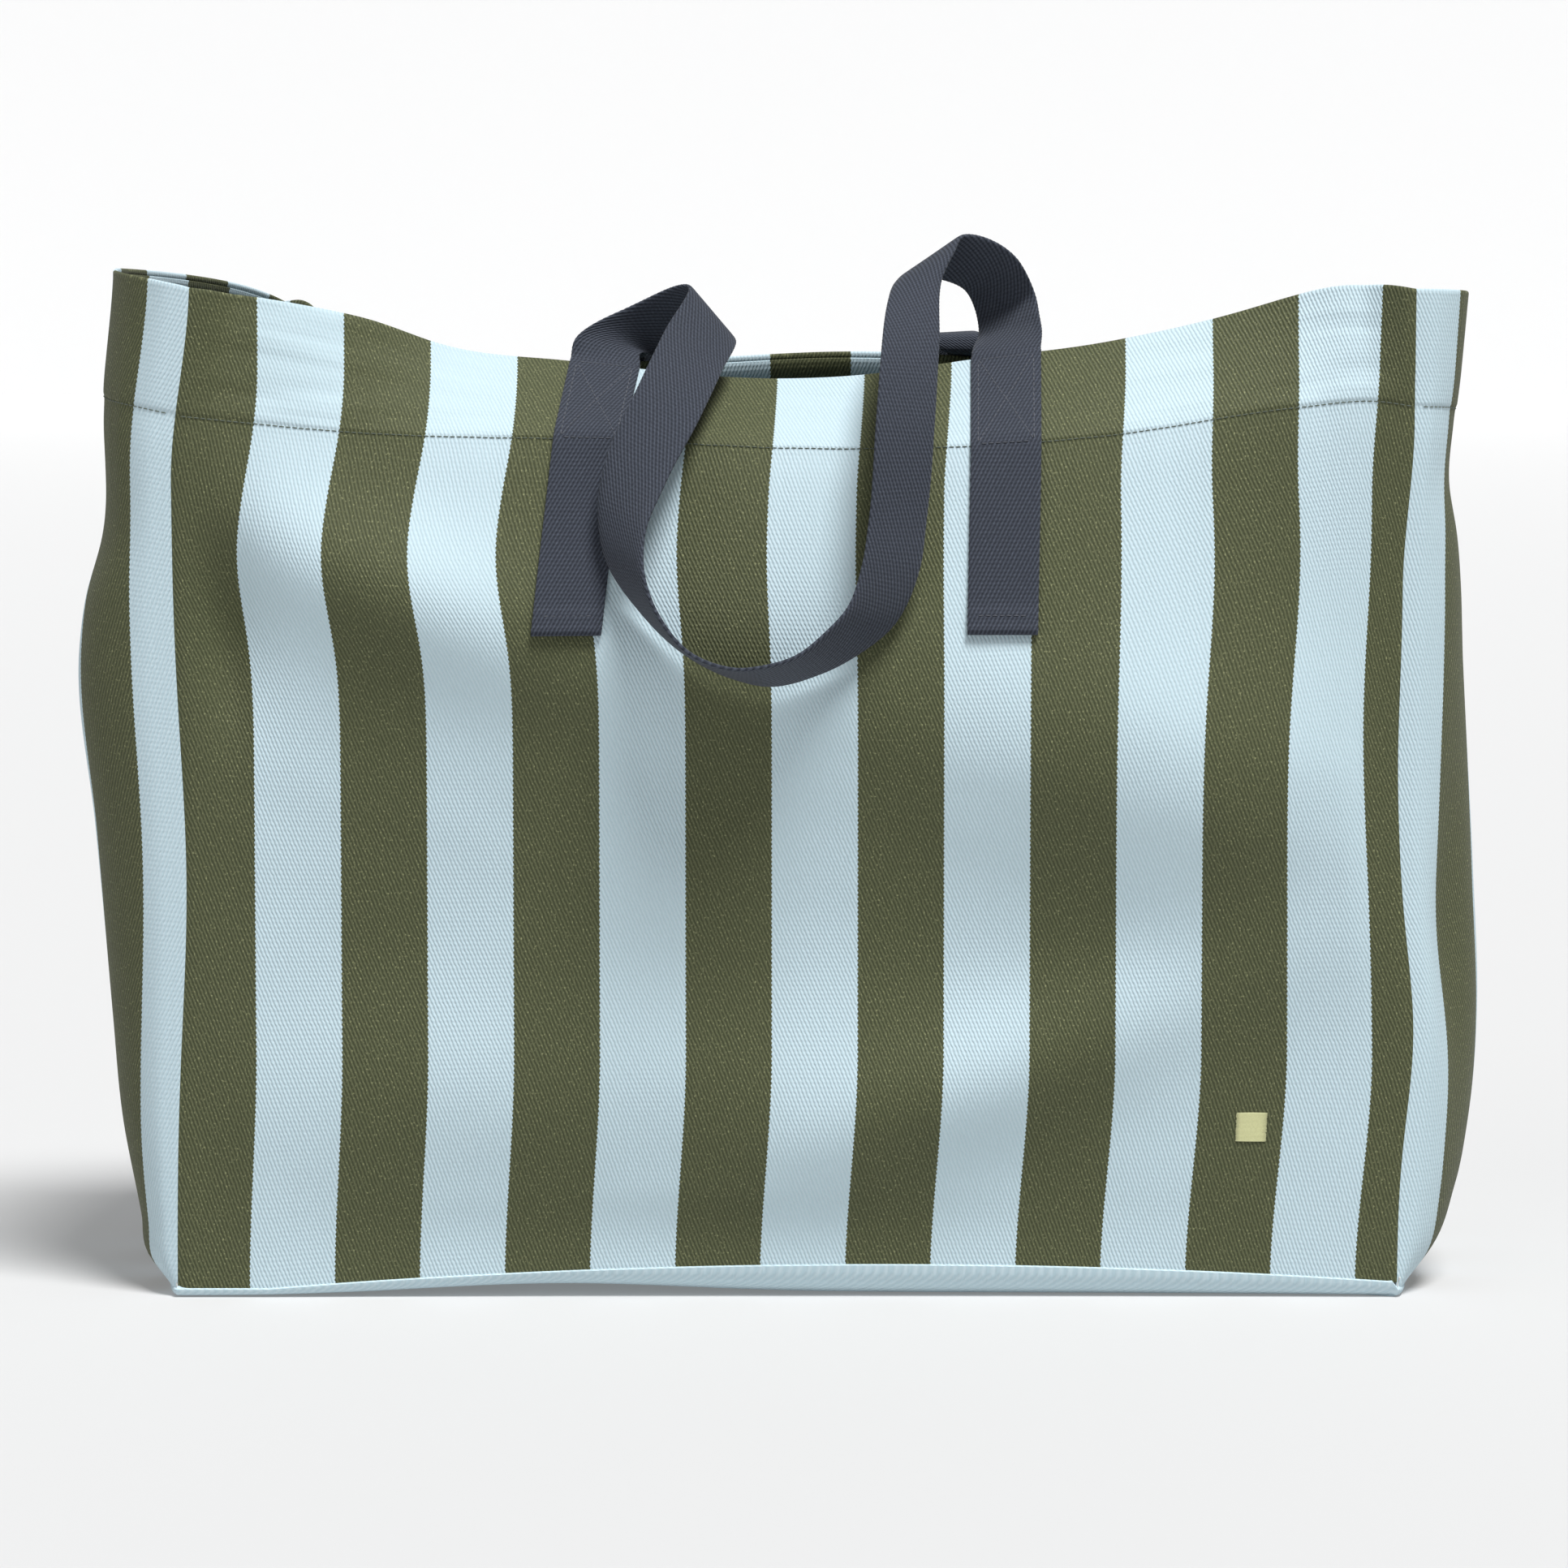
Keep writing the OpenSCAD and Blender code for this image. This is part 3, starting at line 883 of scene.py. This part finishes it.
BASE_LIFT = 5 * MM       # of the base's front edge, where it stands clear of the floor
BASE_UNDER = 0.6 * MM    # height of the flat base's upper face
BASE_OUT = 0.8 * MM      # how far the base's turned-up edge stands outside the wall


def add_base():
    """The base panel: flat on the floor, rounded up to its seam with the walls."""
    edge = np.concatenate([surface(side, columns(side)[0, :-1], 0) for side in SIDES])
    seam_z = edge[:, 2:3]
    flat = edge * [1, 1, 0]
    inward = unit(-flat * [1 / HALF_W ** 2, 1 / HALF_D ** 2, 0])
    at_front = smooth(-edge[:, 1:2], 0.8 * HALF_D, HALF_D)
    lifted = BASE_LIFT * bump(edge[:, 0:1], -115 * MM, 90 * MM) * at_front
    radius = 0.85 * seam_z
    ground = np.minimum(seam_z - radius, BASE_UNDER) + lifted
    rows = [edge + inward * CLOTH + 1.5 * MM * UP, edge - inward * BASE_OUT]
    for angle in math.pi / 2 * np.linspace(0.15, 1, 7):
        z = ground + (seam_z - ground) * (1 - math.sin(angle))
        rows.append(flat + inward * (radius * (1 - math.cos(angle)) - BASE_OUT) + z * UP)
    last = rows[-1]
    for part in np.linspace(0.92, 0.02, 12):
        rows.append(last * [part, part, 0] + (BASE_UNDER + lifted * part ** 4) * UP)
    grid = np.array(rows)[::-1]
    grid = np.concatenate([grid, grid[:, :1]], axis=1)
    obj = add_shell("base_panel_cloth", grid, grid[..., :2].copy(), CLOTH, plain_twill())
    finish_piece(obj, "plain_twill", "base_panel")


ALLOWANCE = 10 * MM      # width of a seam allowance
ALLOWANCE_START = 5 * MM
ALLOWANCE_WAVE = 0.8 * MM


def add_corner_seam(name, side, material):
    """The two cloth edges sewn together inside a vertical corner."""
    t = np.linspace(0.04, 1.0, 60)
    parts = np.linspace(0, 1, 6)
    corner = surface(side, np.ones_like(t), t)
    inward = unit(-(corner * [1, 1, 0]) * [1, HALF_W / HALF_D, 0])
    wave = ALLOWANCE_WAVE * np.sin(t * 40)[:, None] * np.cross(inward, UP)
    grid = np.stack([
        corner + inward * (ALLOWANCE_START + ALLOWANCE * part) + wave * part for part in parts
    ], axis=1)
    uv = np.stack(np.broadcast_arrays(ALLOWANCE * parts[None, :], t[:, None]), axis=-1)
    obj = add_shell(name + "_allowance", grid, uv, 2 * CLOTH, material)
    finish_piece(obj, "overlock", name)


def add_base_seam(side, material):
    grid, uv = cloth_grid(side, np.linspace(0.0, 0.026, 5), LAYER)
    obj = add_shell("base_seam_" + side.name, grid, uv, 2 * CLOTH, material)
    finish_piece(obj, "overlock", "base_seam")


# ---- Webbing handles ----

# The edges of a handle at one place, in mm. ax, az: the edge outside the hanging loop.
# bx, bz: the edge inside it. y: the middle of both. turn: how much nearer the inside
# edge is. Both handles are given as seen by someone who stands in front of them.
Station = namedtuple("Station", "ax az bx bz y turn")

FRONT_LOOP = [
    Station(-48, 495, -27, 470, -76, 0),
    Station(-59, 473, -33, 455, -104, 3),
    Station(-73, 446, -43, 431, -131, 6),
    Station(-87, 412, -60, 400, -150, 14),
    Station(-91, 388, -68, 380, -158, 23),
    Station(-87, 364, -69, 361, -164, 28),
    Station(-71, 340, -62, 340, -168, 32),
    Station(-50, 320, -46, 321, -171, 33),
    Station(-27, 308, -25, 314, -172, 33),
    Station(-10, 304, -13, 315, -172, 32),
    Station(16, 310, 6, 321, -171, 30),
    Station(34, 319, 18, 331, -169, 28),
    Station(51, 333, 29, 343, -167, 24),
    Station(63, 358, 36, 363, -164, 20),
    Station(67, 383, 39, 383, -160, 20),
    Station(71, 432, 43, 434, -152, 19),
    Station(73, 466, 46, 466, -136, 19),
    Station(76, 500, 49, 489, -108, 18),
    Station(82, 513, 53, 497, -92, 7),
    Station(86, 520, 59, 501, -78, 0),
]
BACK_LOOP_HALF = [
    Station(-100, 470.5, -67, 469, -74, 0),
    Station(-97, 470, -64, 468, -100, 0),
    Station(-94, 460, -60, 458, -130, 2),
    Station(-92, 438, -58, 436, -147, 4),
    Station(-90, 405, -56, 406, -154, 6),
    Station(-85, 362, -54, 369, -158, 14),
    Station(-70, 320, -48, 336, -161, 22),
    Station(-43, 289, -32, 311, -163, 25),
    Station(-15, 277, -12, 300, -164, 25),
]
BACK_LOOP = BACK_LOOP_HALF + [
    Station(-0.9 * s.ax, s.az, -0.87 * s.bx, s.bz, s.y, s.turn)
    for s in reversed(BACK_LOOP_HALF)
]

# The ears between the rim and the loop's ends, with the edges in the loop's order, in mm.
Edge = namedtuple("Edge", "ax ay az bx by bz")
FRONT_EARS = (
    [Edge(-107, -74, 470, -71, -62, 461), Edge(-80, -65, 484, -63, -48, 461)],
    [
        Edge(114, -70, 507, 89, -54, 494), Edge(122, -64, 492, 94, -48, 484),
        Edge(123, -70, 480, 97, -56, 473),
    ],
)
BACK_EARS = (
    [Edge(-113, -60, 463, -79, -60, 463), Edge(-106, -61, 469, -73, -61, 468)],
    [Edge(96, -61, 469, 63, -61, 468), Edge(103, -60, 463, 69, -60, 463)],
)

# Where the tabs' middle lines are at their folded ends and at the rim, as x in mm; the
# end is -1 on a side's left and 1 on its right.
TAB_LINES = {
    ("front", -1): (-107, -90), ("front", 1): (104, 108),
    ("back", -1): (-100, -100), ("back", 1): (100, 91),
}
TAB_CLEAR = 0.5 * MM     # from the cloth to the webbing, for the hem's stitches

# The webbing is double up to FOLD_END from a tab's end, and thicker still round the fold.
FOLD_END = (10 * MM, 14 * MM)
ROLL_END = (3 * MM, 5.5 * MM)
FOLD_THICKER = 0.55
ROLL_THICKER = 0.35


def seen_from(side, points):
    """Points given as seen from the front, turned round for the back."""
    return points if side is FRONT else points * [-1, -1, 1]


def loop_edges(stations):
    outer = np.array([(s.ax, s.y + s.turn / 2, s.az) for s in stations]) * MM
    inner = np.array([(s.bx, s.y - s.turn / 2, s.bz) for s in stations]) * MM
    return outer, inner


def ear_edges(ear):
    a = np.array([(e.ax, e.ay, e.az) for e in ear]) * MM
    b = np.array([(e.bx, e.by, e.bz) for e in ear]) * MM
    return a, b


def tab_length(side, end):
    """How much of a tab lies on the wall and how much on the hem."""
    low, high = TAB_LINES[side.name, end]
    u = (low + high) / 2 * MM / HALF_W
    return stitch_height(side, u) - TAB_END, HEM


def on_tab(side, end, along, across, lift):
    """Points lift above the cloth at the tab. along: 0 at the folded end and 1 at the rim.
    across: -1 at its left edge and 1 at the right one."""
    wall, hem = tab_length(side, end)
    run = along * (wall + hem)
    low, high = TAB_LINES[side.name, end]
    u = ((low + (high - low) * along) * MM + across * WEB_W / 2) / HALF_W
    seam = base_seam_height(side, u)
    t_wall = (TAB_END + run - seam) / (stitch_height(side, u) - seam)
    t = np.where(run < wall, t_wall, 1 + (run - wall) / hem)
    return surface(side, u, t) + surface_normals(side, u, t) * np.asarray(lift)[..., None]


def softened(line, reach=4):
    """The line with its sharp bends rounded off and its ends kept."""
    longer = np.concatenate([
        np.repeat(line[:1], reach, axis=0), line, np.repeat(line[-1:], reach, axis=0)
    ])
    count = 2 * reach + 1
    smoothed = sum(longer[i:i + len(line)] for i in range(count)) / count
    smoothed[[0, -1]] = line[[0, -1]]
    return smoothed


def add_tab(side, end, name, material):
    """A tab sewn to the wall and the hem, with its raw end folded under."""
    length = sum(tab_length(side, end))
    along = np.linspace(0, 1, int(length / MM))
    run = along * length
    folded = FOLD_THICKER * (1 - smooth(run, *FOLD_END))
    rolled = ROLL_THICKER * (1 - smooth(run, *ROLL_END))
    thick = WEB_T * (1 + folded + rolled)
    lift = TAB_CLEAR + thick / 2
    round_end_r = 1.6 * MM
    thick = thick * np.sqrt(np.clip(1 - (1 - run / round_end_r).clip(0, 1) ** 2, 0.05, 1))
    left = softened(on_tab(side, end, along, -1, lift))
    right = softened(on_tab(side, end, along, 1, lift))
    obj = add_webbing(name + "_webbing", left, right, 0, material, thick)
    finish_piece(obj, "webbing", name)


def add_tab_stitching(side, end, name, material):
    """Rows at the rim, the hem line and the folded end, and a crossed box between them."""
    length = sum(tab_length(side, end))
    top, hem_line, low = 1 - 3 * MM / length, 1 - HEM / length, 9 * MM / length
    reach = 0.8
    rows = [((place, -reach), (place, reach)) for place in (top, hem_line, low)]
    box = [
        ((hem_line, start), (top, stop))
        for start, stop in ((-reach, -reach), (reach, reach), (-reach, reach), (reach, -reach))
    ]
    lines = []
    for start, stop in rows + box:
        along = np.linspace(start[0], stop[0], 40)
        across = np.linspace(start[1], stop[1], 40)
        folded = FOLD_THICKER * (1 - smooth(along * length, *FOLD_END))
        lift = TAB_CLEAR + WEB_T * (1 + folded)
        line = on_tab(side, end, along, across, lift)
        above = on_tab(side, end, along, across, lift + MM)
        lines.append((softened(line, 2), unit(above - line)))
    obj = add_stitches(name + "_thread", lines, material, pitch=3.4 * MM)
    finish_piece(obj, "webbing_thread", name + "_stitching")


# A whole handle. ways: the direction from the bag to the handle across each bend.
Handle = namedtuple("Handle", "side stations ears tabs node ways")
HANDLES = (
    Handle(
        FRONT, FRONT_LOOP, FRONT_EARS, ("front_left_tab", "front_right_tab"),
        "front_handle_loop", ((0.5, -0.75, 0.43), (-0.45, -0.75, 0.48)),
    ),
    Handle(
        BACK, BACK_LOOP, BACK_EARS, ("back_right_tab", "back_left_tab"),
        "back_handle_loop", ((-0.3, 0.9, 0.3), (0.3, 0.9, 0.3)),
    ),
)
STRAP_STEP = 0.7 * MM


def strap_knots(handle):
    """Points along a strap from tab to tab; a row holds both edges' places."""
    side = handle.side
    rim = np.array([0.985, 1.0])
    rest = TAB_CLEAR + WEB_T / 2
    start = [on_tab(side, -1, rim, k, rest) for k in (-1, 1)]
    end = [on_tab(side, 1, rim[::-1], k, rest) for k in (1, -1)]
    first = ear_edges(handle.ears[0])
    last = ear_edges(handle.ears[1])
    loop = loop_edges(handle.stations)
    free = [seen_from(side, np.concatenate([first[i], loop[i], last[i]])) for i in (0, 1)]
    edges = [np.concatenate([start[i], free[i], end[i]]) for i in (0, 1)]
    return np.concatenate(edges, axis=1)


def add_handle(handle, material):
    """A handle from tab to tab: the free loop, and the two bends between it and the tabs."""
    name = handle.side.name
    knots = strap_knots(handle)
    places = distance_along(knots)
    places = places / places[-1]
    steps = int(distance_along(knots[:, :3])[-1] / STRAP_STEP)
    strap = through(knots, np.linspace(0, 1, steps))
    centre = (strap[:, :3] + strap[:, 3:]) / 2
    half = unit(strap[:, 3:] - strap[:, :3]) * WEB_W / 2
    along = distance_along(centre)

    crests = [2 + len(handle.ears[0])]
    crests.append(crests[0] + len(handle.stations) - 1)
    cuts = [int(places[crests[0] + 2] * steps), int(places[crests[1] - 2] * steps)]
    slices = [slice(0, cuts[0] + 1), slice(cuts[0], cuts[1] + 1), slice(cuts[1], steps)]
    first, loop, second = [
        add_webbing(
            f"{name}_strap_{word}", (centre - half)[part], (centre + half)[part],
            along[part][0], material,
        )
        for word, part in zip(("first_bend", "loop", "second_bend"), slices)
    ]
    finish_piece(loop, "webbing", handle.node, body=name + "_handle")
    for piece, tab, crest, way in zip((first, second), handle.tabs, crests, handle.ways):
        way = Vector(way).normalized()
        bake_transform(piece)
        finish_piece(piece, "webbing", tab, body=None)


# ---- Embroidery ----

SATIN_ROWS = 30
SATIN_LIFT = 0.35 * MM
SATIN_RAGGED = 0.25 * MM


def add_mark():
    """A plain square of satin stitch: close rows of thread from side to side."""
    centre = (mark_low + mark_high) / 2
    width = mark_high.x - mark_low.x
    seam = base_seam_height(FRONT, centre.x / HALF_W)
    middle_t = (centre.z - seam) / (stitch_height(FRONT, centre.x / HALF_W) - seam)
    half_t = width / 2 / WALL
    sides, steps = 8, 9
    fullness = np.sin(math.pi * np.linspace(0.06, 0.94, steps)) ** 0.35
    radius = 0.62 * width / SATIN_ROWS * fullness
    points, faces, uv = [], [], []
    for row in range(SATIN_ROWS):
        t = middle_t + half_t * (2 * (row + 0.5) / SATIN_ROWS - 1)
        ragged = random.uniform(-1, 1, 2) * SATIN_RAGGED
        x = centre.x + np.linspace(ragged[0] - width / 2, ragged[1] + width / 2, steps)
        line = surface(FRONT, x / HALF_W, t)
        normal = surface_normals(FRONT, x / HALF_W, t)
        faces += tube_faces(steps, sides, len(points))
        for i in range(steps):
            for k in range(sides):
                angle = 2 * math.pi * k / sides
                outwards = SATIN_LIFT + radius[i] * math.sin(angle)
                points.append(
                    line[i] + normal[i] * outwards + UP * radius[i] * math.cos(angle)
                )
                uv.append((x[i], row * MM))
    material = thread("embroidery", YELLOW_THREAD)
    obj = add_mesh(
        "satin_square", np.array(points), faces, np.array(uv), material, sharp_turn=0
    )
    finish_piece(obj, "embroidery", "embroidered_square")


# ---- The whole bag ----

# Each corner seam is at the end (u 1) of its side.
CORNER_SEAMS = (
    ("front_right_seam", FRONT), ("back_right_seam", RIGHT),
    ("back_left_seam", BACK), ("front_left_seam", LEFT),
)
TABS = (
    ("front_left_tab", FRONT, -1), ("front_right_tab", FRONT, 1),
    ("back_right_tab", BACK, -1), ("back_left_tab", BACK, 1),
)


def build():
    add_camera()
    add_studio()
    white = thread("overlock", WHITE_THREAD, fuzz=0.5)
    hem_thread = thread("hem_thread", GREY_GREEN_THREAD)
    webbing = webbing_cloth()
    webbing_thread = thread("webbing_thread", NAVY_THREAD)
    for side in SIDES:
        twill_cloth = striped_twill("striped_twill_" + side.name, STRIPE_START[side.name])
        add_panel(side, twill_cloth)
        add_turn_in(side, twill_cloth)
        add_overlock(side, white)
        add_topstitch(side, hem_thread)
        add_base_seam(side, white)
    add_base()
    for name, side in CORNER_SEAMS:
        add_corner_seam(name, side, white)
    for name, side, end in TABS:
        add_tab(side, end, name, webbing)
        add_tab_stitching(side, end, name, webbing_thread)
    for handle in HANDLES:
        add_handle(handle, webbing)
    add_mark()


build()
